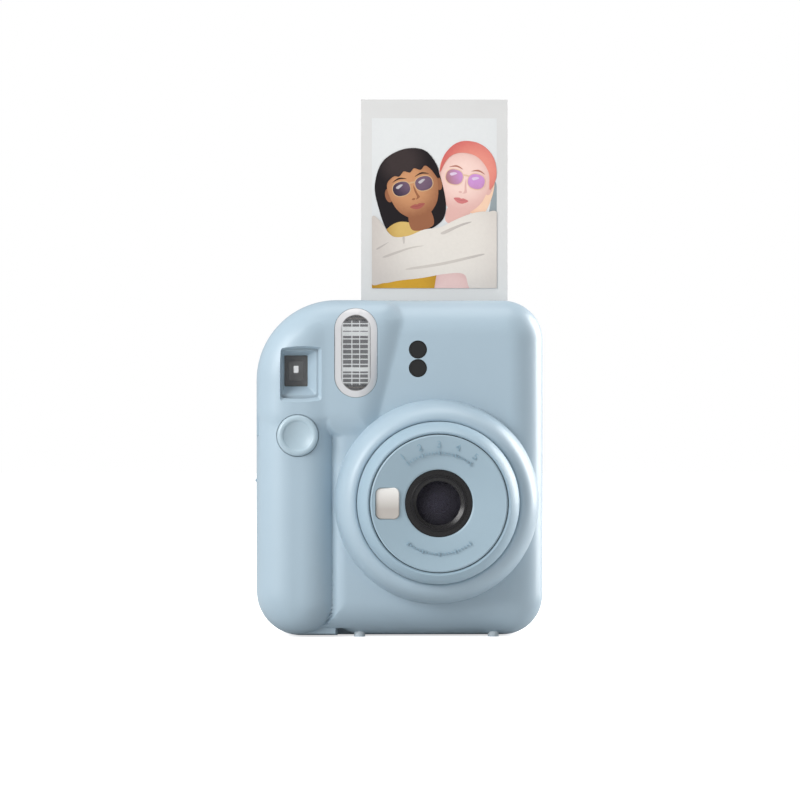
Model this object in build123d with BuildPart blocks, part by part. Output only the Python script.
"""Instant film camera: shell, doors, finder, flash, twist lens, film path and print.

Millimetres. +Z is up, the front faces -Y, and the origin lies under the middle of the
body, on the plane that the feet stand on.
"""

import os
from math import atan2, cos, degrees, hypot, radians, sin, sqrt

from build123d import *

# Shell: overall sizes, faces and wall
body_width = 104.0
body_height = 122.0
foot_height = 0.5
foot_radius = 2.0
foot_xs = (-14.7, 33.9)
foot_ys = (-0.5, 23.0)
main_face_y = -9.5
grip_face_y = -13.0
finder_block_y = -12.0
back_face_y = 31.0
split_y = -4.5
join_y = 4.0
wall = 2.0
edge_radius = 13.0
back_edge_radius = 4.5
top_left_radius = 29.0
top_right_radius = 14.5
bottom_left_radius = 16.0
bottom_right_radius = 14.5

# Crease between the grip and the main face, and the raised block round the finder
crease_inset = 27.3
crease_overlap = 1.85
crease_edge_radius = 7.0
crease_depth_y = -7.0
finder_block_bottom = 72.7
finder_block_radius = 10.0
finder_block_right = 2.9
finder_block_slant = 0.25
finder_corner_radius = 12.0

# General fits
glue_gap = 0.05
running_gap = 0.3
pin_gap = 0.05

# Lens: axis, disc, twist ring, bulge
lens_x = 13.1
lens_z = 49.1
lens_front_y = -33.3
disc_radius = 24.4
tube_wall = 1.5
base_tube_wall = 1.7
ring_flank = 4.5
ring_front_y = -33.0
ring_lip = 1.8
ring_lip_thickness = 1.4
bulge_rim = 7.6
bulge_crest_y = -23.0
collar_wall = 2.0
lens_bore = 12.0
aperture_radius = 3.9
glass_radius = 8.45
shutter_plate_y = -22.0
barrel_back_y = -15.0
flange_front_y = -12.0
flange_thickness = 2.0
blade_pivot = 10.0
blade_thickness = 0.5

# Selfie mirror beside the lens
mirror_offset = 18.3
mirror_width = 8.5
mirror_height = 11.2
mirror_radius = 2.0
mirror_floor_y = -31.3

# Shutter release
button_inset = 14.9
button_z = 73.0
button_radius = 7.45
button_dish_radius = 5.05
button_front_y = -14.2
button_gap = 0.2
button_flange_y = -8.0
button_flange = 1.2
button_post_spread = 10.6
button_post_radius = 1.4
button_board_y = -3.0

# Finder
finder_inset = 14.3
finder_drop = 25.7
finder_width = 8.4
finder_height = 11.2
finder_funnel_left = 5.9
finder_funnel_right = 10.1
finder_funnel_top = 8.9
finder_funnel_bottom = 11.3
finder_floor_y = -7.0
finder_pane = 1.0

# Flash
flash_inset = 35.85
flash_drop = 19.2
flash_width = 15.3
flash_height = 32.1
flash_wall = 1.6
flash_back_y = -5.5
flash_board_y = 5.0
board_thickness = 1.6
capacitor_radius = 6.0
capacitor_length = 34.0

# Sensors
sensor_x = 6.25
sensor_drops = (18.0, 24.7)
sensor_radius = 2.83

# Film, print and pack
film_y = 19.75
print_width = 54.0
print_height = 86.0
print_thickness = 0.5
print_lift = 4.5
image_width = 46.0
image_height = 62.0
pack_width = 62.0
pack_height = 91.0
pack_bottom = 9.5
pack_front_y = 18.2
pack_depth = 12.0
pack_wall = 1.0
pack_gap = 0.5
chamber_wall = 1.5
chamber_plate = 1.8
slot_play = 1.0
slot_width = 1.6

# Rollers and gears
roller_radius = 3.5
roller_drop = 16.0
nip_half_gap = 0.55
shaft_radius = 1.5
gear_width = 2.5
roller_teeth = 14
idler_teeth = 14
pinion_teeth = 8
motor_radius = 6.0
motor_length = 24.0
motor_y = 2.0

# Batteries
cell_diameter = 14.5
cell_length = 50.5
cell_bottom = 18.0
contact_thickness = 0.4
holder_wall = 1.2

# Doors, latch, counter
door_thickness = 2.05
door_gap = 0.25
door_left = -22.5
hinge_radius = 1.9
hinge_pin_radius = 0.9
battery_pin_radius = 0.6
latch_x = -28.5
latch_z = 58.0
counter_radius = 7.0
counter_z = 79.0

# Places worked out from the sizes above
left = -body_width / 2
right = body_width / 2
bottom = foot_height
top = body_height
inner_left = left + wall
inner_right = right - wall
inner_back_y = back_face_y - wall
crease_x = left + crease_inset
button_x = left + button_inset
finder_x = left + finder_inset
finder_z = top - finder_drop
flash_x = left + flash_inset
flash_z = top - flash_drop
sensor_zs = [top - drop for drop in sensor_drops]
roller_z = top - roller_drop
print_bottom = roller_z + print_lift

base_bore = disc_radius + running_gap
base_outer = base_bore + base_tube_wall
ring_bore = base_outer + running_gap
ring_outer = disc_radius + ring_flank
bulge_bore = ring_outer + running_gap
crest_radius = bulge_bore + 0.8
bulge_radius = bulge_bore + bulge_rim
flange_radius = bulge_bore + ring_lip + collar_wall

chamber_left = lens_x - pack_width / 2 - pack_gap - chamber_wall
chamber_right = lens_x + pack_width / 2 + pack_gap + chamber_wall
chamber_bottom = pack_bottom - pack_gap - chamber_wall
chamber_top = pack_bottom + pack_height + chamber_wall
chamber_front_y = pack_front_y - chamber_plate - 0.2
opening_bottom = chamber_bottom + chamber_wall
pitch_radius = roller_radius + nip_half_gap
gear_module = 2 * pitch_radius / roller_teeth
drive_y = film_y - pitch_radius
pressure_y = film_y + pitch_radius
gear_x = chamber_right + running_gap

hinge_x = right - 2.4
hinge_y = back_face_y + running_gap
door_right = right - back_edge_radius - 0.2
door_front_y = back_face_y + door_gap
door_top = top - 11.0
door_bottom = bottom + 5.0

battery_x = inner_left + cell_diameter / 2 + 2.75
cell_ys = (back_face_y - 25.5, back_face_y - 10.5)
holder_right = battery_x + cell_diameter / 2 + running_gap + holder_wall
holder_front_y = cell_ys[0] - cell_diameter / 2 - running_gap - holder_wall
holder_bottom = cell_bottom - contact_thickness - holder_wall
holder_top = cell_bottom + cell_length + contact_thickness + holder_wall
main_board_x = holder_right + 2.0
lens_axis = Axis((lens_x, 0, lens_z), (0, 1, 0))
lens_plane = Plane((lens_x, 0, lens_z))


def facing(y):
    """Plane parallel to the front at depth y; extruding from it goes toward the front."""
    return Plane.XZ.offset(-y)


def body_outline(inset):
    """Front outline of the body, each side moved in by inset."""
    with BuildSketch() as outline:
        with BuildLine():
            FilletPolyline(
                (left + inset, bottom + inset),
                (right - inset, bottom + inset),
                (right - inset, top - inset),
                (left + inset, top - inset),
                radius=[
                    bottom_left_radius - inset,
                    bottom_right_radius - inset,
                    top_right_radius - inset,
                    top_left_radius - inset,
                ],
                close=True,
            )
        make_face()
    return outline.sketch


def front_block(inset, x_from, x_to, face_y, radius):
    """Block of the body between two upright planes, with a rounded front edge."""
    with BuildPart() as block:
        with BuildSketch(facing(join_y)):
            add(body_outline(inset))
            with Locations(((x_from + x_to) / 2, top / 2)):
                Rectangle(x_to - x_from, 2 * top, mode=Mode.INTERSECT)
        extrude(amount=join_y - face_y - inset)
        fillet(block.faces().sort_by(Axis.Y)[0].edges(), radius - inset)
    return block.part


def finder_block(inset):
    """Raised block round finder and flash, with a slanting right edge."""
    low = finder_block_bottom + inset
    with BuildPart() as block:
        with BuildSketch(facing(join_y)):
            add(body_outline(inset))
            with BuildLine():
                Polyline(
                    (left - 1, low),
                    (finder_block_right - inset - finder_block_slant * (top - low), low),
                    (finder_block_right - inset, top + 1),
                    (left - 1, top + 1),
                    close=True,
                )
            make_face(mode=Mode.INTERSECT)
        extrude(amount=join_y - finder_block_y - inset)
        right_corners = block.edges().filter_by(Axis.Y).sort_by(Axis.X)[-2:]
        fillet(right_corners, finder_corner_radius - inset)
        fillet(block.faces().sort_by(Axis.Y)[0].edges(), finder_block_radius - inset)
    return block.part


def bulge(inset):
    """Round rise of the front cover about the lens axis."""
    with BuildPart() as rise:
        with BuildSketch(lens_plane):
            with BuildLine():
                Polyline(
                    (crest_radius, bulge_crest_y + inset),
                    (0, bulge_crest_y + inset),
                    (0, 1),
                    (bulge_radius - inset, 1),
                    (bulge_radius - inset, main_face_y),
                )
                EllipticalCenterArc(
                    (crest_radius, main_face_y),
                    bulge_radius - inset - crest_radius,
                    main_face_y - bulge_crest_y - inset,
                    start_angle=270,
                    arc_size=90,
                )
            make_face()
        revolve(axis=lens_axis)
    return rise.part


def body_form(inset):
    """Whole outer form of the body, or the hollow inside it, inset from the surface."""
    grip = front_block(inset, left - 1, crease_x + crease_overlap + 0.2 - inset, grip_face_y, edge_radius)
    main_start = crease_x - crease_overlap + 0.2 + inset
    with BuildPart() as main:
        with BuildSketch(facing(join_y)):
            add(body_outline(inset))
            with Locations(((main_start + right + 1) / 2, top / 2)):
                Rectangle(right + 1 - main_start, 2 * top, mode=Mode.INTERSECT)
        extrude(amount=join_y - main_face_y - inset)
        face_edges = main.faces().sort_by(Axis.Y)[0].edges()
        crease_edge = face_edges.sort_by(Axis.X)[0]
        fillet(crease_edge, crease_edge_radius - inset)
        rim = main.faces().sort_by(Axis.Y)[0].edges().sort_by(Axis.X)[1:]
        fillet(rim, edge_radius - inset)
    with BuildPart() as form:
        with BuildSketch(facing(back_face_y - inset)):
            add(body_outline(inset))
        extrude(amount=back_face_y - inset - join_y)
        fillet(form.faces().sort_by(Axis.Y)[-1].edges(), back_edge_radius - inset)
        add(grip)
        add(main.part)
        add(finder_block(inset))
        add(bulge(inset))
    return form.part


def gear(teeth, phase, x_from, bore, y, z):
    """Spur gear across X with one tooth centred at the phase angle, in degrees."""
    pitch = gear_module * teeth / 2
    step = 360 / teeth
    with BuildPart() as wheel:
        with BuildSketch(Plane.YZ.offset(x_from)):
            with Locations((y, z)):
                with BuildLine():
                    corners = []
                    for number in range(teeth):
                        for share, rise in ((-0.25, -1.0), (-0.1, 0.7), (0.1, 0.7), (0.25, -1.0)):
                            angle = radians(phase + (number + share) * step)
                            reach = pitch + rise * gear_module
                            corners.append((y + reach * cos(angle), z + reach * sin(angle)))
                    Polyline(*corners, close=True)
            make_face()
            with Locations((y, z)):
                Circle(bore, mode=Mode.SUBTRACT)
        extrude(amount=gear_width)
    return wheel


def meshed_phase(phase, teeth, direction, other_teeth):
    """Tooth phase of a gear that lies in the given direction from its neighbour."""
    lead = (phase - direction) * teeth / other_teeth
    return direction + 180 - lead + 180 / other_teeth


outer_form = body_form(0)
hollow_form = body_form(wall)
flash_hollow = body_form(flash_wall)

# Front cover
funnel_left = finder_x - finder_funnel_left
funnel_right = finder_x + finder_funnel_right
funnel_low = finder_z - finder_funnel_bottom
funnel_high = finder_z + finder_funnel_top
with BuildPart() as finder_boss:
    with BuildSketch(facing(finder_floor_y + 0.5)):
        with Locations(((funnel_left + funnel_right) / 2, (funnel_low + funnel_high) / 2)):
            Rectangle(
                funnel_right - funnel_left + 2 * wall - 1.4,
                funnel_high - funnel_low + 2 * wall - 1.4,
            )
    extrude(amount=finder_floor_y + 0.5 - grip_face_y)
    add(outer_form, mode=Mode.INTERSECT)
# Posts that carry the shutter button's board end inside the skin
with BuildPart() as button_posts:
    with BuildSketch(facing(button_board_y)):
        with Locations(
            (button_x - button_post_spread, button_z + 2), (button_x + button_post_spread, button_z + 2)
        ):
            Circle(button_post_radius)
    extrude(amount=button_board_y - grip_face_y)
    add(body_form(1.0), mode=Mode.INTERSECT)
with BuildPart() as front_cover:
    add(outer_form)
    add(hollow_form, mode=Mode.SUBTRACT)
    # clear the web left behind the crease
    with BuildSketch(facing(join_y)):
        with Locations((crease_x, (bottom + top) / 2)):
            Rectangle(14, top - bottom - 14)
    extrude(amount=join_y - crease_depth_y - wall, mode=Mode.SUBTRACT)
    split(bisect_by=facing(split_y), keep=Keep.TOP)
    # collar round the twist ring, stepped for the ring's lip
    with BuildSketch(lens_plane):
        with BuildLine():
            lip_seat = flange_front_y - ring_lip_thickness - 2 * running_gap
            lip_room = bulge_bore + ring_lip
            Polyline(
                (bulge_bore, bulge_crest_y + wall / 2),
                (flange_radius, bulge_crest_y + wall),
                (flange_radius, flange_front_y),
                (lip_room, flange_front_y),
                (lip_room, lip_seat),
                (bulge_bore, lip_seat),
                close=True,
            )
        make_face()
    revolve(axis=lens_axis)
    # funnel round the finder
    add(finder_boss.part)
    with BuildSketch(facing(finder_floor_y)):
        with Locations((finder_x, finder_z)):
            RectangleRounded(finder_width, finder_height, 1.0)
    with BuildSketch(facing(grip_face_y - 0.2)):
        with Locations(((funnel_left + funnel_right) / 2, (funnel_low + funnel_high) / 2)):
            RectangleRounded(funnel_right - funnel_left, funnel_high - funnel_low, 3.0)
    loft(mode=Mode.SUBTRACT)
    with BuildSketch(facing(finder_floor_y + 1)):
        with Locations((finder_x, finder_z)):
            RectangleRounded(finder_width, finder_height, 1.0)
    extrude(amount=1.2, mode=Mode.SUBTRACT)
    # holes for the twist ring, flash, sensors and shutter button
    with BuildSketch(facing(split_y)):
        with Locations((lens_x, lens_z)):
            Circle(bulge_bore)
    extrude(amount=split_y - lens_front_y, mode=Mode.SUBTRACT)
    with BuildSketch(facing(flash_back_y + 5)):
        with Locations((flash_x, flash_z)):
            SlotOverall(flash_height + 2 * glue_gap, flash_width + 2 * glue_gap, rotation=90)
        for sensor_z in sensor_zs:
            with Locations((sensor_x, sensor_z)):
                Circle(sensor_radius + glue_gap)
    extrude(amount=20, mode=Mode.SUBTRACT)
    add(button_posts.part)
    with BuildSketch(facing(button_board_y)):
        with Locations((button_x, button_z)):
            Circle(button_radius + button_gap)
    extrude(amount=20, mode=Mode.SUBTRACT)
front_cover.part.label = "front_cover"

# Screw bosses reach from cover to cover at the grip side of the body
screw_places = ((left + 12.0, bottom + 9.0), (left + 20.0, top - 10.0))
with BuildPart() as front_bosses:
    with BuildSketch(facing(split_y)):
        with Locations(*screw_places):
            Circle(3.0)
    extrude(amount=12)
    add(body_form(1.0), mode=Mode.INTERSECT)
with BuildPart() as front_cover_done:
    add(front_cover.part)
    add(front_bosses.part)
    with BuildSketch(facing(split_y)):
        with Locations(*screw_places):
            Circle(1.1)
    extrude(amount=2.6, mode=Mode.SUBTRACT)
front_cover_done.part.label = "front_cover"

# Rear cover
pocket_y = 10.0
pocket_z = 86.0
pocket_length = 12.0
pocket_width = 8.0
pocket_depth = 4.4
door_opening_z = (opening_bottom + chamber_top - 1.0) / 2
with BuildPart() as strap_pockets:
    with Locations((left + 3, pocket_y, pocket_z), (right - 3, pocket_y, pocket_z)):
        Box(6.2, pocket_width + 2, pocket_length + 2)
    add(outer_form, mode=Mode.INTERSECT)
with BuildPart() as rear_bosses:
    with BuildSketch(facing(inner_back_y + 0.5)):
        with Locations(*screw_places):
            Circle(3.0)
    extrude(amount=inner_back_y + 0.5 - split_y)
with BuildPart() as hinge_knuckles:
    for low in (24.0, 84.0):
        with BuildSketch(Plane.XY.offset(low)):
            with Locations((hinge_x, hinge_y)):
                Circle(hinge_radius)
        extrude(amount=10)
with BuildPart() as rear_cover:
    add(outer_form)
    add(hollow_form, mode=Mode.SUBTRACT)
    with BuildSketch(facing(join_y + 1)):
        with Locations((crease_x, (bottom + top) / 2)):
            Rectangle(14, top - bottom - 14)
    extrude(amount=join_y + 1 - crease_depth_y - wall, mode=Mode.SUBTRACT)
    split(bisect_by=facing(split_y), keep=Keep.BOTTOM)
    add(strap_pockets.part)
    add(rear_bosses.part)
    add(hinge_knuckles.part)
    # strap pockets
    with Locations(
        (left + pocket_depth / 2 - 1, pocket_y, pocket_z),
        (right - pocket_depth / 2 + 1, pocket_y, pocket_z),
    ):
        Box(pocket_depth + 2, pocket_width, pocket_length, mode=Mode.SUBTRACT)
    # hinge pin holes and room for the door's knuckles
    with BuildSketch(Plane.XY.offset(20)):
        with Locations((hinge_x, hinge_y)):
            Circle(hinge_pin_radius)
    extrude(amount=78, mode=Mode.SUBTRACT)
    for low in (34.0, 73.7):
        with BuildSketch(Plane.XY.offset(low)):
            with Locations((hinge_x, hinge_y)):
                Circle(hinge_radius + running_gap)
        extrude(amount=10.3, mode=Mode.SUBTRACT)
    # film door opening
    with BuildSketch(facing(back_face_y + 1)):
        with Locations((lens_x, door_opening_z)):
            Rectangle(pack_width + 2 * pack_gap, chamber_top - 1.0 - opening_bottom)
    extrude(amount=wall + 1.2, mode=Mode.SUBTRACT)
    # print slot
    with Locations((lens_x, film_y, top)):
        Box(print_width + 2 * slot_play, slot_width, 3 * wall, mode=Mode.SUBTRACT)
    # battery door opening with holes for its stub pins
    opening_z = (cell_bottom - 0.3 + holder_top + 0.2) / 2
    with Locations((left, back_face_y - 17.5, opening_z)):
        Box(2 * wall + 0.2, 24, holder_top + 0.5 - cell_bottom, mode=Mode.SUBTRACT)
    with BuildSketch(facing(back_face_y - 4.3)):
        with Locations((left + wall / 2, cell_bottom + 1)):
            Circle(battery_pin_radius + pin_gap)
    extrude(amount=26.4, mode=Mode.SUBTRACT)
    # eyepiece, counter window, latch slot and screws
    with BuildSketch(facing(back_face_y + 1)):
        with Locations((finder_x, finder_z)):
            RectangleRounded(finder_width + 1.6, finder_height + 1.8, 2.0)
        with Locations((left + 16, counter_z + 4.6)):
            Rectangle(6, 5)
        with Locations((latch_x, latch_z + 2)):
            Rectangle(3.6, 12.6)
    extrude(amount=wall + 1.5, mode=Mode.SUBTRACT)
    with BuildSketch(facing(back_face_y + 1)):
        with Locations(*screw_places):
            Circle(1.15)
    extrude(amount=back_face_y + 1 - split_y, mode=Mode.SUBTRACT)
    with BuildSketch(facing(back_face_y + 1)):
        with Locations(*screw_places):
            Circle(2.3)
    extrude(amount=2.6, mode=Mode.SUBTRACT)
    # axle of the counter wheel
    with BuildSketch(facing(inner_back_y)):
        with Locations((left + 16, counter_z)):
            Circle(1.2)
    extrude(amount=3)
rear_cover.part.label = "rear_cover"

with BuildPart() as strap_bars:
    with BuildSketch(Plane.XY.offset(pocket_z - pocket_length / 2)):
        with Locations((left + 1, pocket_y), (right - 1, pocket_y)):
            Circle(0.9)
    extrude(amount=pocket_length)
strap_bars.part.label = "strap_bars"

with BuildPart() as case_screws:
    with BuildSketch(facing(back_face_y - 1.6)):
        with Locations(*screw_places):
            Circle(1.1)
    extrude(amount=back_face_y - 1.6 - split_y + 2.4)
    with BuildSketch(facing(back_face_y - 0.2)):
        with Locations(*screw_places):
            Circle(2.2)
    extrude(amount=1.4)
    with BuildSketch(facing(back_face_y - 0.2)):
        for place in screw_places:
            with Locations(place):
                Rectangle(2.6, 0.6)
                Rectangle(0.6, 2.6)
    extrude(amount=0.7, mode=Mode.SUBTRACT)
case_screws.part.label = "case_screws"

with BuildPart() as feet:
    with BuildSketch(Plane.XY):
        with Locations(*[(foot_x, foot_y) for foot_x in foot_xs for foot_y in foot_ys]):
            Circle(foot_radius)
    extrude(amount=foot_height + 3.5)
    add(outer_form, mode=Mode.SUBTRACT)
feet.part.label = "feet"

with BuildPart() as slot_seal:
    seal_y = slot_width / 2 + 0.8
    with Locations(
        (lens_x - 2, film_y - seal_y, top - wall - 0.8),
        (lens_x - 2, film_y + seal_y, top - wall - 0.8),
    ):
        Box(print_width - 4, 1.4, 1.6)
slot_seal.part.label = "slot_seal"

# Film door with its hinge
with BuildPart() as film_door:
    with BuildSketch(facing(door_front_y + door_thickness)):
        with Locations(((door_left + door_right) / 2, (door_bottom + door_top) / 2)):
            RectangleRounded(door_right - door_left, door_top - door_bottom, 9.2)
    extrude(amount=door_thickness)
    fillet(film_door.faces().sort_by(Axis.Y)[-1].edges(), 1.2)
    # shallow frame line pressed into the outer face
    with BuildSketch(facing(door_front_y + door_thickness)):
        with Locations(((door_left + door_right) / 2, (door_bottom + door_top) / 2)):
            RectangleRounded(door_right - door_left - 10, door_top - door_bottom - 10, 6)
            RectangleRounded(
                door_right - door_left - 11.2, door_top - door_bottom - 11.2, 5.4, mode=Mode.SUBTRACT
            )
    extrude(amount=0.4, mode=Mode.SUBTRACT)
    for low in (34.3, 74.0):
        with BuildSketch(Plane.XY.offset(low)):
            with Locations((hinge_x, hinge_y)):
                Circle(hinge_radius)
            with Locations(((hinge_x + door_right) / 2 - 1, door_front_y + 1.1)):
                Rectangle(hinge_x - door_right + 2, 1.5)
        extrude(amount=9.7)
        with BuildSketch(Plane.XY.offset(low)):
            with Locations((hinge_x, hinge_y)):
                Circle(hinge_pin_radius + pin_gap)
        extrude(amount=9.7, mode=Mode.SUBTRACT)
    # window over the film pack
    with BuildSketch(facing(door_front_y + door_thickness)):
        with Locations((lens_x, lens_z)):
            RectangleRounded(8, 16, 2)
    extrude(amount=door_thickness, mode=Mode.SUBTRACT)
film_door.part.label = "film_door"

with BuildPart() as pack_window:
    with BuildSketch(facing(door_front_y + door_thickness - 0.3)):
        with Locations((lens_x, lens_z)):
            RectangleRounded(8, 16, 2)
    extrude(amount=door_thickness - 0.3)
pack_window.part.label = "pack_window"

with BuildPart() as pressure_springs:
    for x in (lens_x - 14, lens_x + 14):
        with BuildSketch(Plane.YZ.offset(x - 4)):
            with BuildLine():
                spring_y = door_front_y
                spring_arch = ThreePointArc(
                    (spring_y - 0.3, lens_z - 16), (spring_y - 0.7, lens_z), (spring_y - 0.3, lens_z + 16)
                )
                spring_ends = Polyline(
                    spring_arch @ 1, (spring_y, lens_z + 16), (spring_y, lens_z - 16), spring_arch @ 0
                )
            make_face()
        extrude(amount=8)
pressure_springs.part.label = "pressure_springs"

with BuildPart() as door_hinge_pins:
    for low in (24.0, 74.0):
        with BuildSketch(Plane.XY.offset(low)):
            with Locations((hinge_x, hinge_y)):
                Circle(hinge_pin_radius)
        extrude(amount=20)
door_hinge_pins.part.label = "door_hinge_pins"

# Latch of the film door: thumb pad outside, slider inside
with BuildPart() as door_latch:
    with BuildSketch(facing(back_face_y + 2.0)):
        with Locations((latch_x, latch_z)):
            SlotOverall(16, 7.6, rotation=90)
    extrude(amount=1.8)
    fillet(door_latch.faces().sort_by(Axis.Y)[-1].edges(), 0.6)
    with BuildSketch(facing(back_face_y + 2.0)):
        for rise in (-3, -1, 1, 3):
            with Locations((latch_x, latch_z + rise)):
                Rectangle(4.6, 0.7)
    extrude(amount=0.5, mode=Mode.SUBTRACT)
    with BuildSketch(facing(back_face_y + 0.3)):
        with Locations((latch_x, latch_z)):
            Rectangle(3.0, 8.0)
    extrude(amount=wall + 0.6)
    with BuildSketch(facing(inner_back_y - 0.3)):
        with Locations((latch_x + 1.0, latch_z)):
            Rectangle(6.0, 16.0)
    extrude(amount=1.2)
door_latch.part.label = "door_latch"

# Battery side: door, holder, cells, contacts
with BuildPart() as battery_door:
    with Locations((left + wall / 2, back_face_y - 17.5, (cell_bottom + 1 + holder_top) / 2)):
        Box(wall, 23.5, holder_top - cell_bottom - 1)
    with BuildSketch(facing(back_face_y - 5.75)):
        with Locations((left + wall / 2, cell_bottom + 1)):
            Circle(wall / 2)
    extrude(amount=23.5)
    with BuildSketch(facing(back_face_y - 4.6)):
        with Locations((left + wall / 2, cell_bottom + 1)):
            Circle(battery_pin_radius)
    extrude(amount=25.8)
    # thumb ridge
    with BuildSketch(facing(back_face_y - 12)):
        with Locations((left, 56.5)):
            Circle(0.6)
    extrude(amount=11)
battery_door.part.label = "battery_door"

with BuildPart() as battery_holder:
    holder_left = inner_left + back_edge_radius - wall + 0.1
    holder_x = (holder_left + holder_right) / 2
    holder_y = (holder_front_y + inner_back_y) / 2
    holder_z = (holder_bottom + holder_top) / 2
    with Locations((holder_x, holder_y, holder_z)):
        Box(holder_right - holder_left, inner_back_y - holder_front_y, holder_top - holder_bottom)
    with Locations((holder_x - holder_wall, holder_y, holder_z)):
        Box(
            holder_right - holder_left,
            inner_back_y - holder_front_y - 2 * holder_wall,
            holder_top - holder_bottom - 2 * holder_wall,
            mode=Mode.SUBTRACT,
        )
    # posts for the main board
    with BuildSketch(Plane.YZ.offset(holder_right)):
        with Locations((6, 25), (20, 60)):
            Circle(2)
    extrude(amount=main_board_x - holder_right)
battery_holder.part.label = "battery_holder"

with BuildPart() as batteries:
    with BuildSketch(Plane.XY.offset(cell_bottom)):
        for cell_y in cell_ys:
            with Locations((battery_x, cell_y)):
                Circle(cell_diameter / 2)
    extrude(amount=cell_length - 1.2)
    fillet(batteries.edges().filter_by(GeomType.CIRCLE), 0.6)
    with BuildSketch(Plane.XY.offset(cell_bottom + cell_length - 1.2)):
        for cell_y in cell_ys:
            with Locations((battery_x, cell_y)):
                Circle(2.6)
    extrude(amount=1.2)
batteries.part.label = "batteries"

with BuildPart() as battery_contacts:
    for low in (cell_bottom - contact_thickness, cell_bottom + cell_length):
        with BuildSketch(Plane.XY.offset(low)):
            for cell_y in cell_ys:
                with Locations((battery_x, cell_y)):
                    Rectangle(9, 11)
        extrude(amount=contact_thickness)
battery_contacts.part.label = "battery_contacts"

with BuildPart() as main_board:
    with Locations((main_board_x + board_thickness / 2, 13, 54)):
        Box(board_thickness, 24, 80)
    # packages on the inner face of the board
    chip_x = main_board_x + board_thickness + 0.5
    with Locations((chip_x, 14, 30), (chip_x, 19, 52), (chip_x, 17, 74)):
        Box(1.0, 9, 9)
main_board.part.label = "main_board"

# Finder: front pane, tunnel, eyepiece
with BuildPart() as finder_front_window:
    with BuildSketch(facing(finder_floor_y + 0.5 + finder_pane)):
        with Locations((finder_x, finder_z)):
            RectangleRounded(finder_width + 1.6, finder_height + 1.8, 1.0)
    extrude(amount=finder_pane)
finder_front_window.part.label = "finder_front_window"

eyepiece_y = inner_back_y - 1.5
with BuildPart() as finder_tunnel:
    with BuildSketch(facing(eyepiece_y)):
        with Locations((finder_x, finder_z)):
            RectangleRounded(finder_width + 1.6, finder_height + 1.8, 1.0)
            RectangleRounded(finder_width - 1.2, finder_height - 1.2, 0.6, mode=Mode.SUBTRACT)
    extrude(amount=eyepiece_y - finder_floor_y - 0.5 - finder_pane)
    # mask that narrows the view at the front pane
    with BuildSketch(facing(finder_floor_y + 0.5 + finder_pane + 1.0)):
        with Locations((finder_x, finder_z)):
            Rectangle(finder_width, finder_height)
            Rectangle(finder_width - 3.4, finder_height - 4.4, mode=Mode.SUBTRACT)
    extrude(amount=1.0)
finder_tunnel.part.label = "finder_tunnel"

with BuildPart() as finder_eyepiece:
    with BuildSketch(facing(back_face_y + 0.8)):
        with Locations((finder_x, finder_z)):
            RectangleRounded(finder_width + 1.5, finder_height + 1.7, 1.9)
    extrude(amount=back_face_y + 0.8 - eyepiece_y)
    fillet(finder_eyepiece.faces().sort_by(Axis.Y)[-1].edges(), 0.5)
    with BuildSketch(facing(back_face_y + 0.8)):
        with Locations((finder_x, finder_z)):
            RectangleRounded(finder_width - 2.4, finder_height - 4.4, 1.0)
    extrude(amount=1.0, mode=Mode.SUBTRACT)
finder_eyepiece.part.label = "finder_eyepiece"

# Flash: clear cap flush with the shell, reflector, tube, board, capacitor
with BuildPart() as flash_cavity:
    with BuildSketch(facing(flash_back_y + 1)):
        with Locations((flash_x, flash_z)):
            SlotOverall(flash_height - 2 * flash_wall, flash_width - 2 * flash_wall, rotation=90)
    extrude(amount=12)
    add(flash_hollow, mode=Mode.INTERSECT)
with BuildPart() as flash_window:
    with BuildSketch(facing(flash_back_y)):
        with Locations((flash_x, flash_z)):
            SlotOverall(flash_height, flash_width, rotation=90)
    extrude(amount=12)
    add(outer_form, mode=Mode.INTERSECT)
    add(flash_cavity.part, mode=Mode.SUBTRACT)
flash_window.part.label = "flash_window"

reflector_width = 11.4
reflector_height = 27.0
reflector_back_y = 3.0
with BuildPart() as flash_reflector:
    with BuildSketch(facing(flash_back_y + 0.8)):
        with Locations((flash_x, flash_z)):
            RectangleRounded(flash_width - 1.0, flash_height - 3.0, 5.0)
    extrude(amount=0.8)
    with BuildSketch(facing(flash_back_y)):
        with Locations((flash_x, flash_z)):
            RectangleRounded(reflector_width + 1.2, reflector_height + 1.2, 2.0)
    with BuildSketch(facing(reflector_back_y)):
        with Locations((flash_x, flash_z)):
            RectangleRounded(6.2, reflector_height, 2.0)
    loft()
    with BuildSketch(facing(flash_back_y)):
        with Locations((flash_x, flash_z)):
            RectangleRounded(reflector_width, reflector_height, 1.8)
    with BuildSketch(facing(reflector_back_y - 0.6)):
        with Locations((flash_x, flash_z)):
            RectangleRounded(5.0, reflector_height - 1.2, 1.8)
    loft(mode=Mode.SUBTRACT)
    with BuildSketch(facing(flash_board_y)):
        with Locations((flash_x, flash_z - 9), (flash_x, flash_z + 9)):
            Circle(1.2)
    extrude(amount=flash_board_y - reflector_back_y)
flash_reflector.part.label = "flash_reflector"

with BuildPart() as flash_tube:
    with BuildSketch(Plane.XY.offset(flash_z - 12.4)):
        with Locations((flash_x, reflector_back_y - 0.6 - 1.7)):
            Circle(1.4)
    extrude(amount=24.8)
flash_tube.part.label = "flash_tube"

with BuildPart() as flash_board:
    board_low = 46.0
    board_high = top - 5.0
    board_left = flash_x - 10.3
    board_right = flash_x + 7.1
    with Locations(
        (
            (board_left + board_right) / 2,
            flash_board_y + board_thickness / 2,
            (board_low + board_high) / 2,
        )
    ):
        Box(board_right - board_left, board_thickness, board_high - board_low)
flash_board.part.label = "flash_board"

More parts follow.
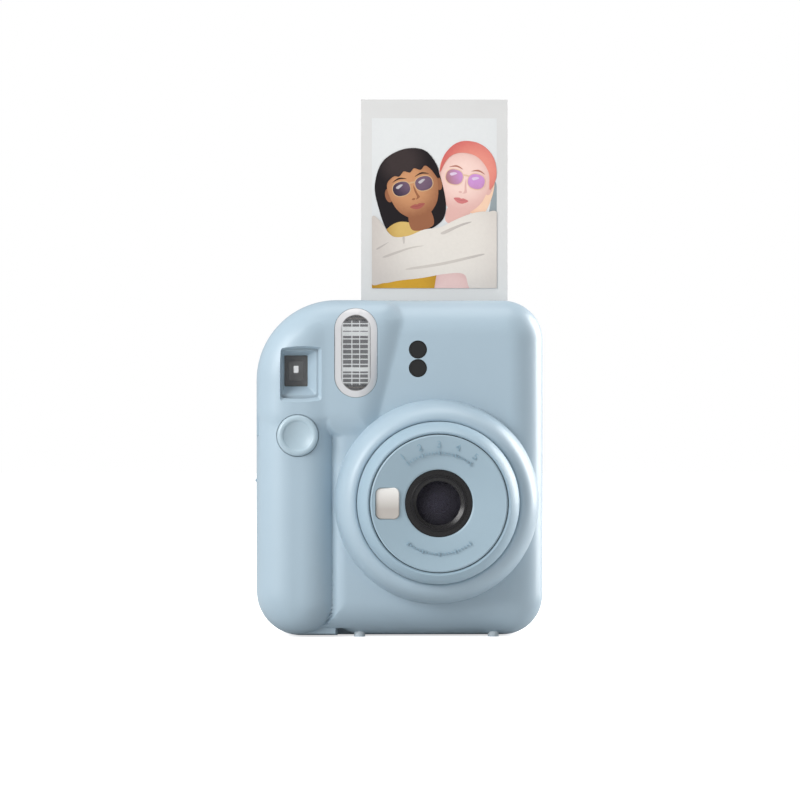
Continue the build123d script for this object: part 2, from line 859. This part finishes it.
with BuildPart() as flash_capacitor:
    with BuildSketch(Plane.XY.offset(50)):
        with Locations((flash_x, flash_board_y - capacitor_radius)):
            Circle(capacitor_radius)
    extrude(amount=capacitor_length)
    fillet(flash_capacitor.edges().filter_by(GeomType.CIRCLE), 0.8)
flash_capacitor.part.label = "flash_capacitor"

# Light sensors in the main face
with BuildPart() as sensor_windows:
    with BuildSketch(facing(main_face_y + wall)):
        for sensor_z in sensor_zs:
            with Locations((sensor_x, sensor_z)):
                Circle(sensor_radius)
    extrude(amount=wall)
    with BuildSketch(facing(main_face_y + wall + 1)):
        for sensor_z in sensor_zs:
            with Locations((sensor_x, sensor_z)):
                Circle(sensor_radius + 0.4)
    extrude(amount=1)
sensor_windows.part.label = "sensor_windows"

with BuildPart() as sensor_board:
    sensor_board_y = main_face_y + wall + 1 + 0.6
    with Locations((sensor_x, sensor_board_y, sum(sensor_zs) / 2)):
        Box(9, 1.2, 15)
sensor_board.part.label = "sensor_board"

# Shutter release: dished button, spring, board with switch
with BuildPart() as shutter_button:
    dish_depth = 1.1
    dish_sphere = (button_dish_radius**2 + dish_depth**2) / (2 * dish_depth)
    dish_rim_y = button_front_y + 0.5
    flange_back_y = button_flange_y + button_flange
    with BuildSketch(Plane((button_x, 0, button_z))):
        with BuildLine():
            Polyline(
                (0, dish_rim_y + dish_depth),
                (0, button_board_y - 2.2),
                (2.0, button_board_y - 2.2),
                (2.0, flange_back_y),
                (button_radius + 1.0, flange_back_y),
                (button_radius + 1.0, button_flange_y),
                (button_radius, button_flange_y),
                (button_radius, button_front_y + 1.0),
            )
            ThreePointArc(
                (button_radius, button_front_y + 1.0),
                (button_radius - 0.95, button_front_y),
                (button_dish_radius, dish_rim_y),
            )
            half_dish = button_dish_radius / 2
            half_depth = dish_depth - dish_sphere + sqrt(dish_sphere**2 - half_dish**2)
            ThreePointArc(
                (button_dish_radius, dish_rim_y),
                (half_dish, dish_rim_y + half_depth),
                (0, dish_rim_y + dish_depth),
            )
        make_face()
    revolve(axis=Axis((button_x, 0, button_z), (0, 1, 0)))
shutter_button.part.label = "shutter_button"

with BuildPart() as button_spring:
    spring_start = flange_back_y + 0.1
    spring_length = button_board_y - 0.1 - spring_start
    spring_path = Helix(
        pitch=1.3,
        height=spring_length - 0.5,
        radius=4.0,
        center=(button_x, spring_start + 0.25, button_z),
        direction=(0, 1, 0),
    )
    with BuildSketch(Plane(origin=spring_path @ 0, z_dir=spring_path % 0)):
        Circle(0.25)
    sweep(path=spring_path, is_frenet=True)
button_spring.part.label = "button_spring"

with BuildPart() as button_board:
    with Locations((button_x, button_board_y + 0.6, button_z + 2)):
        Box(23.4, 1.2, 9)
    # switch under the button's stem
    with Locations((button_x, button_board_y - 0.2, button_z)):
        Box(3.6, 0.4, 3.6)
button_board.part.label = "button_board"

# Lens base ring, fixed in the front cover's collar
with BuildPart() as lens_base_ring:
    with BuildSketch(lens_plane):
        with BuildLine():
            Polyline(
                (base_bore, lens_front_y + 2.8),
                (base_outer, lens_front_y + 2.8),
                (base_outer, flange_front_y),
                (flange_radius, flange_front_y),
                (flange_radius, flange_front_y + flange_thickness),
                (base_bore, flange_front_y + flange_thickness),
                close=True,
            )
        make_face()
    revolve(axis=lens_axis)
lens_base_ring.part.label = "lens_base_ring"

# Twist ring with a conical flank and a lip that the collar holds
with BuildPart() as lens_ring:
    with BuildSketch(lens_plane):
        with BuildLine():
            lip_back = flange_front_y - running_gap
            Polyline(
                (ring_outer, bulge_crest_y - 0.4),
                (ring_outer, lip_back - ring_lip_thickness),
                (bulge_bore + ring_lip - running_gap, lip_back - ring_lip_thickness),
                (bulge_bore + ring_lip - running_gap, lip_back),
                (ring_bore, lip_back),
                (ring_bore, ring_front_y + 2.0),
                (base_bore, ring_front_y + 2.0),
                (base_bore, ring_front_y + 0.5),
                (base_bore + 0.5, ring_front_y),
                (base_bore + 0.9, ring_front_y),
            )
            ThreePointArc(
                (base_bore + 0.9, ring_front_y),
                ((base_bore + 0.9 + ring_outer) / 2 + 0.75, (ring_front_y + bulge_crest_y - 0.4) / 2 - 1.4),
                (ring_outer, bulge_crest_y - 0.4),
            )
        make_face()
    revolve(axis=lens_axis)
lens_ring.part.label = "lens_ring"

# Sliding barrel: dished disc, outer tube, inner tube
with BuildPart() as lens_barrel:
    with BuildSketch(lens_plane):
        with BuildLine():
            disc_back_y = lens_front_y + 3.3
            Polyline(
                (lens_bore + glue_gap, lens_front_y + 2.4),
                (lens_bore + 0.6, lens_front_y + 2.1),
                (disc_radius - 0.9, lens_front_y + 0.1),
                (disc_radius - 0.5, lens_front_y),
                (disc_radius, lens_front_y + 0.4),
                (disc_radius, barrel_back_y),
                (disc_radius - tube_wall, barrel_back_y),
                (disc_radius - tube_wall, disc_back_y),
                (lens_bore + 1.6, disc_back_y),
                (lens_bore + 1.6, shutter_plate_y),
                (lens_bore + glue_gap, shutter_plate_y),
                close=True,
            )
        make_face()
    revolve(axis=lens_axis)
    with BuildSketch(facing(mirror_floor_y)):
        with Locations((lens_x - mirror_offset, lens_z)):
            RectangleRounded(
                mirror_width + 2 * glue_gap, mirror_height + 2 * glue_gap, mirror_radius + glue_gap
            )
    extrude(amount=4, mode=Mode.SUBTRACT)
lens_barrel.part.label = "lens_barrel"

with BuildPart() as selfie_mirror:
    with BuildSketch(facing(mirror_floor_y)):
        with Locations((lens_x - mirror_offset, lens_z)):
            RectangleRounded(mirror_width, mirror_height, mirror_radius)
    extrude(amount=1.0)
    chamfer(selfie_mirror.faces().sort_by(Axis.Y)[0].edges(), 0.3)
selfie_mirror.part.label = "selfie_mirror"

# Black bezel: flat annulus, raised ring, stepped funnel
glass_front_y = -26.8
with BuildPart() as lens_bezel:
    with BuildSketch(lens_plane):
        with BuildLine():
            funnel_steps = []
            step_count = 4
            for number in range(step_count):
                step_radius = 9.2 - 1.3 * number / step_count
                next_radius = 9.2 - 1.3 * (number + 1) / step_count
                step_y = lens_front_y + 2.4 + (glass_front_y - lens_front_y - 2.9) * (number + 1) / step_count
                funnel_steps.append((step_radius, step_y))
                funnel_steps.append((next_radius, step_y + 0.15))
            Polyline(
                (lens_bore, lens_front_y + 2.7),
                (lens_bore - 0.2, lens_front_y + 2.4),
                (10.1, lens_front_y + 2.4),
                (9.9, lens_front_y + 2.05),
                (9.4, lens_front_y + 2.05),
                (9.2, lens_front_y + 2.4),
                *funnel_steps,
                (7.9, glass_front_y),
                (glass_radius, glass_front_y),
                (glass_radius, shutter_plate_y),
                (lens_bore, shutter_plate_y),
                close=True,
            )
        make_face()
    revolve(axis=lens_axis)
lens_bezel.part.label = "lens_bezel"

glass_edge = 7.9
glass_rise = 1.4
glass_sphere = (glass_edge**2 + glass_rise**2) / (2 * glass_rise)
half_rise = glass_rise - glass_sphere + sqrt(glass_sphere**2 - glass_edge**2 / 4)
with BuildPart() as front_lens:
    with BuildSketch(lens_plane):
        with BuildLine():
            Polyline(
                (glass_edge, glass_front_y),
                (glass_radius, glass_front_y),
                (glass_radius, glass_front_y + 2.8),
                (0, glass_front_y + 2.8),
                (0, glass_front_y - glass_rise),
            )
            ThreePointArc(
                (0, glass_front_y - glass_rise),
                (glass_edge / 2, glass_front_y - half_rise),
                (glass_edge, glass_front_y),
            )
        make_face()
    revolve(axis=lens_axis)
front_lens.part.label = "front_lens"

with BuildPart() as lens_retainer:
    with BuildSketch(facing(shutter_plate_y)):
        with Locations((lens_x, lens_z)):
            Circle(glass_radius)
            Circle(aperture_radius, mode=Mode.SUBTRACT)
    extrude(amount=shutter_plate_y - glass_front_y - 2.8)
lens_retainer.part.label = "lens_retainer"

# Shutter: plate with pivots, two blades, solenoid, rear cell with the rear lens
plate_back_y = shutter_plate_y + 0.8
with BuildPart() as shutter_plate:
    with BuildSketch(facing(plate_back_y)):
        with Locations((lens_x, lens_z)):
            Circle(disc_radius - tube_wall - 0.05)
            Circle(aperture_radius + 0.4, mode=Mode.SUBTRACT)
    extrude(amount=0.8)
    with BuildSketch(facing(plate_back_y + 2.0)):
        with Locations((lens_x - blade_pivot, lens_z), (lens_x + blade_pivot, lens_z)):
            Circle(0.7)
    extrude(amount=2.0)
shutter_plate.part.label = "shutter_plate"

blades = []
for side, name, blade_back_y in (
    (-1, "shutter_blade_left", plate_back_y + 0.3 + blade_thickness),
    (1, "shutter_blade_right", plate_back_y + 0.6 + 2 * blade_thickness),
):
    with BuildPart() as blade:
        with BuildSketch(facing(blade_back_y)):
            with Locations((lens_x + side * blade_pivot, lens_z)):
                Circle(2.2)
            with Locations((lens_x + side * (blade_pivot / 2 - 0.4), lens_z)):
                RectangleRounded(blade_pivot + 0.8, 9.2, 1.5)
            with Locations((lens_x + side * blade_pivot, lens_z)):
                Circle(0.7 + pin_gap, mode=Mode.SUBTRACT)
        extrude(amount=blade_thickness)
    blade.part.label = name
    blades.append(blade)

with BuildPart() as shutter_solenoid:
    with BuildSketch(facing(plate_back_y + 2.4)):
        with Locations((lens_x, lens_z - 15.5)):
            RectangleRounded(10, 6, 1)
    extrude(amount=2.4)
shutter_solenoid.part.label = "shutter_solenoid"

with BuildPart() as rear_lens_cell:
    with BuildSketch(facing(barrel_back_y - 1)):
        with Locations((lens_x, lens_z)):
            Circle(disc_radius - tube_wall - 0.05)
            Circle(7.0, mode=Mode.SUBTRACT)
    extrude(amount=2.6)
rear_lens_cell.part.label = "rear_lens_cell"

with BuildPart() as rear_lens:
    with BuildSketch(facing(barrel_back_y - 1.2)):
        with Locations((lens_x, lens_z)):
            Circle(7.0)
    extrude(amount=2.2)
    chamfer(rear_lens.edges().filter_by(GeomType.CIRCLE), 0.3)
rear_lens.part.label = "rear_lens"

# Light cone from the lens to the film gate
cone_wall = 1.5
cone_front_y = flange_front_y + flange_thickness + 0.5
cone_back_y = chamber_front_y
with BuildPart() as light_cone:
    with BuildSketch(facing(cone_back_y)):
        with Locations((lens_x, lens_z)):
            Rectangle(image_width + 2 * cone_wall, image_height + 2 * cone_wall)
    with BuildSketch(facing(cone_front_y)):
        with Locations((lens_x, lens_z)):
            Rectangle(20, 22)
    loft()
    with BuildSketch(facing(cone_back_y)):
        with Locations((lens_x, lens_z)):
            Rectangle(image_width + 6, image_height + 6)
    extrude(amount=1.2)
    with BuildSketch(facing(cone_back_y)):
        with Locations((lens_x, lens_z)):
            Rectangle(image_width, image_height)
    with BuildSketch(facing(cone_front_y)):
        with Locations((lens_x, lens_z)):
            Rectangle(20 - 2 * cone_wall, 22 - 2 * cone_wall)
    loft(mode=Mode.SUBTRACT)
light_cone.part.label = "light_cone"

# Film chamber: gate plate, three walls, posts for the flash board
with BuildPart() as film_chamber:
    chamber_x = (chamber_left + chamber_right) / 2
    chamber_z = (chamber_bottom + chamber_top) / 2
    with Locations((chamber_x, (chamber_front_y + inner_back_y) / 2, chamber_z)):
        Box(chamber_right - chamber_left, inner_back_y - chamber_front_y, chamber_top - chamber_bottom)
    fillet(film_chamber.edges().filter_by(Axis.Y).group_by(Axis.Z)[0], 2 * chamber_wall)
    pocket_back_y = inner_back_y + 1
    pocket_front_y = chamber_front_y + chamber_plate
    with Locations((chamber_x, (pocket_front_y + pocket_back_y) / 2, chamber_z + chamber_wall)):
        Box(
            chamber_right - chamber_left - 2 * chamber_wall,
            pocket_back_y - pocket_front_y,
            chamber_top - chamber_bottom,
            mode=Mode.SUBTRACT,
        )
    with BuildSketch(facing(pocket_front_y + 0.5)):
        with Locations((lens_x, lens_z)):
            Rectangle(image_width, image_height)
    extrude(amount=chamber_plate + 1, mode=Mode.SUBTRACT)
    # slot for the film claw in the right wall
    with Locations((chamber_right, film_y + 0.9, 36)):
        Box(4, 2.3, 22, mode=Mode.SUBTRACT)
    with BuildSketch(facing(chamber_front_y)):
        with Locations((flash_x - 0.3, 54), (flash_x - 0.3, 96)):
            Circle(2)
    extrude(amount=chamber_front_y - flash_board_y - board_thickness)
film_chamber.part.label = "film_chamber"

# Film pack: cassette with its gate, exit slot and the sheets inside
with BuildPart() as film_pack:
    pack_y = pack_front_y + pack_depth / 2
    pack_z = pack_bottom + pack_height / 2
    with Locations((lens_x, pack_y, pack_z)):
        Box(pack_width, pack_depth, pack_height)
        Box(
            pack_width - 2 * pack_wall,
            pack_depth - 2 * pack_wall,
            pack_height - 2 * pack_wall,
            mode=Mode.SUBTRACT,
        )
    with Locations((lens_x, pack_front_y, lens_z)):
        Box(image_width, 4 * pack_wall, image_height, mode=Mode.SUBTRACT)
    exit_slot = 2 * (film_y - pack_front_y - pack_wall)
    with Locations((lens_x, film_y, pack_bottom + pack_height)):
        Box(print_width + 2, exit_slot, 4 * pack_wall, mode=Mode.SUBTRACT)
film_pack.part.label = "film_pack"

with BuildPart() as film_sheets:
    sheets_front_y = film_y + print_thickness / 2 + 0.3
    sheets_back_y = pack_front_y + pack_depth - pack_wall
    with Locations((lens_x, (sheets_front_y + sheets_back_y) / 2, pack_bottom + pack_wall + print_height / 2)):
        Box(print_width, sheets_back_y - sheets_front_y, print_height)
film_sheets.part.label = "film_sheets"

with BuildPart() as instant_print:
    with Locations((lens_x, film_y, print_bottom + print_height / 2)):
        Box(print_width, print_thickness, print_height)
instant_print.part.label = "print"

with BuildPart() as film_claw:
    claw_x = chamber_right + 0.4
    with Locations((claw_x + 0.5, film_y + 1.5, 37)):
        Box(1.0, 7, 26)
    with Locations((claw_x - 0.75, film_y + 0.9, 29.5)):
        Box(1.6, 1.2, 3)
film_claw.part.label = "film_claw"

# Rollers, their bracket and the gear train
motor_z = roller_z - 2.0
roller_left = chamber_left + chamber_wall + 1.5
roller_right = chamber_right - chamber_wall - 1.5
rollers = []
for roller_y, name in ((drive_y, "drive_roller"), (pressure_y, "pressure_roller")):
    with BuildPart() as roller:
        with BuildSketch(Plane.YZ.offset(roller_left)):
            with Locations((roller_y, roller_z)):
                Circle(roller_radius)
        extrude(amount=roller_right - roller_left)
        chamfer(roller.edges().filter_by(GeomType.CIRCLE), 0.3)
        with BuildSketch(Plane.YZ.offset(chamber_left + 0.2)):
            with Locations((roller_y, roller_z)):
                Circle(shaft_radius)
        extrude(amount=gear_x + gear_width - chamber_left - 0.2)
    roller.part.label = name
    rollers.append(roller)

pinion_reach = gear_module * (pinion_teeth + idler_teeth) / 2
drive_reach = gear_module * (idler_teeth + roller_teeth) / 2
centre_gap = hypot(drive_y - motor_y, roller_z - motor_z)
along = (pinion_reach**2 - drive_reach**2 + centre_gap**2) / (2 * centre_gap)
aside = sqrt(pinion_reach**2 - along**2)
toward_y = (drive_y - motor_y) / centre_gap
toward_z = (roller_z - motor_z) / centre_gap
idler_y = motor_y + along * toward_y + aside * toward_z
idler_z = motor_z + along * toward_z - aside * toward_y
to_idler = degrees(atan2(idler_z - roller_z, idler_y - drive_y))
to_motor = degrees(atan2(motor_z - idler_z, motor_y - idler_y))
idler_phase = meshed_phase(0, roller_teeth, to_idler, idler_teeth)
pressure_phase = meshed_phase(0, roller_teeth, 0, roller_teeth)
pinion_phase = meshed_phase(idler_phase, idler_teeth, to_motor, pinion_teeth)

with BuildPart() as roller_bracket:
    bridge_y = motor_y + motor_radius
    axle_radius = 1.0
    with BuildSketch(Plane.YZ.offset(chamber_left)):
        with BuildLine():
            Polyline(
                (bridge_y, chamber_top),
                (inner_back_y - 0.4, chamber_top),
                (inner_back_y - 0.4, roller_z + 6),
                (bridge_y, roller_z + 6),
                close=True,
            )
        make_face()
        with Locations((drive_y, roller_z), (pressure_y, roller_z)):
            Circle(shaft_radius + pin_gap, mode=Mode.SUBTRACT)
    extrude(amount=chamber_wall)
    with BuildSketch(Plane.YZ.offset(chamber_right - chamber_wall)):
        with BuildLine():
            Polyline(
                (motor_y + 2, idler_z - 3.5),
                (chamber_front_y - 0.4, idler_z - 3.5),
                (chamber_front_y - 0.4, chamber_top),
                (inner_back_y - 0.4, chamber_top),
                (inner_back_y - 0.4, roller_z + 6),
                (motor_y + 2, roller_z + 6),
                close=True,
            )
        make_face()
        with Locations((drive_y, roller_z), (pressure_y, roller_z)):
            Circle(shaft_radius + pin_gap, mode=Mode.SUBTRACT)
    extrude(amount=chamber_wall)
    with BuildSketch(facing(bridge_y + 1.5)):
        with Locations((lens_x, (chamber_top + roller_z + 6) / 2)):
            Rectangle(chamber_right - chamber_left, roller_z + 6 - chamber_top)
    extrude(amount=1.5)
    with BuildSketch(Plane.YZ.offset(chamber_right)):
        with Locations((idler_y, idler_z)):
            Circle(axle_radius)
    extrude(amount=running_gap + gear_width)
roller_bracket.part.label = "roller_bracket"

drive_gear = gear(roller_teeth, 0, gear_x, shaft_radius, drive_y, roller_z)
drive_gear.part.label = "drive_gear"
pressure_gear = gear(roller_teeth, pressure_phase, gear_x, shaft_radius, pressure_y, roller_z)
pressure_gear.part.label = "pressure_gear"
idler_gear = gear(idler_teeth, idler_phase, gear_x, axle_radius + pin_gap, idler_y, idler_z)
idler_gear.part.label = "idler_gear"

motor_right = chamber_right - 4.0
motor_shaft = 0.75
with BuildPart() as drive_motor:
    with BuildSketch(Plane.YZ.offset(motor_right - motor_length)):
        with Locations((motor_y, motor_z)):
            Circle(motor_radius)
    extrude(amount=motor_length)
    chamfer(drive_motor.edges().filter_by(GeomType.CIRCLE), 0.4)
    with BuildSketch(Plane.YZ.offset(motor_right - 3)):
        with Locations((motor_y, motor_z)):
            Circle(motor_shaft + pin_gap)
    extrude(amount=3.5, mode=Mode.SUBTRACT)
drive_motor.part.label = "drive_motor"

motor_pinion = gear(pinion_teeth, pinion_phase, gear_x, motor_shaft, motor_y, motor_z)
with BuildPart() as pinion_with_shaft:
    add(motor_pinion.part)
    with BuildSketch(Plane.YZ.offset(motor_right - 2.8)):
        with Locations((motor_y, motor_z)):
            Circle(motor_shaft)
    extrude(amount=gear_x + gear_width - motor_right + 2.8)
pinion_with_shaft.part.label = "motor_pinion"

# Picture counter
with BuildPart() as counter_wheel:
    with BuildSketch(facing(inner_back_y - 0.6)):
        with Locations((left + 16, counter_z)):
            Circle(counter_radius)
            Circle(1.2 + pin_gap, mode=Mode.SUBTRACT)
    extrude(amount=1.2)
counter_wheel.part.label = "counter_wheel"

with BuildPart() as counter_window:
    with BuildSketch(facing(back_face_y - 0.2)):
        with Locations((left + 16, counter_z + 4.6)):
            Rectangle(6, 5)
    extrude(amount=1.4)
counter_window.part.label = "counter_window"

pieces = [
    front_cover_done, rear_cover, strap_bars, case_screws, feet, slot_seal,
    film_door, pack_window, pressure_springs, door_hinge_pins, door_latch,
    battery_door, battery_holder, batteries, battery_contacts, main_board,
    finder_front_window, finder_tunnel, finder_eyepiece,
    flash_window, flash_reflector, flash_tube, flash_board, flash_capacitor,
    sensor_windows, sensor_board, shutter_button, button_spring, button_board,
    lens_base_ring, lens_ring, lens_barrel, selfie_mirror, lens_bezel, front_lens,
    lens_retainer, shutter_plate, *blades, shutter_solenoid, rear_lens_cell, rear_lens,
    light_cone, film_chamber, film_pack, film_sheets, instant_print, film_claw,
    *rollers, roller_bracket, drive_gear, pressure_gear, idler_gear,
    drive_motor, pinion_with_shaft, counter_wheel, counter_window,
]
os.makedirs("parts", exist_ok=True)
for piece in pieces:
    export_step(piece.part, f"parts/{piece.part.label}.step")
